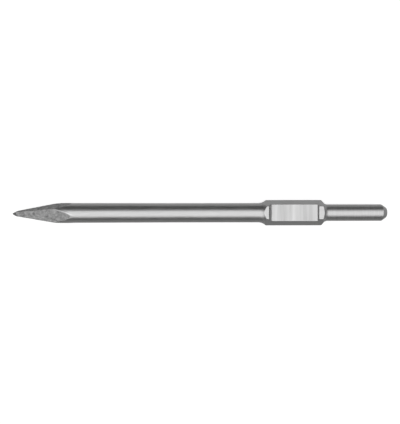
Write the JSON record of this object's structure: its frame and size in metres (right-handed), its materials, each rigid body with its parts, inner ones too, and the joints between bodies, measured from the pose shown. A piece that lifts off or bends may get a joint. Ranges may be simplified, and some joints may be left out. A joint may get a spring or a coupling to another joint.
{
  "type": "moil-point chisel",
  "caption": "One-piece steel point chisel for a demolition hammer: four-sided point, round body, hexagonal collar with a retainer recess, and a round striking tail.",
  "frame": {"origin": "centre of the struck end of the tail", "axes": "+X along the tool's axis, out of the struck end, so the point lies at -X; +Z out of the collar's flat that holds the recess"},
  "size_m": [0.5067, 0.0344, 0.03],
  "materials": {
    "tool_steel": "bare tool steel: drawn and ground on the body, collar and tail, matte as forged on the point"
  },
  "bodies": {
    "root": {"moil_point_chisel": "tool_steel"}
  },
  "joints": []
}
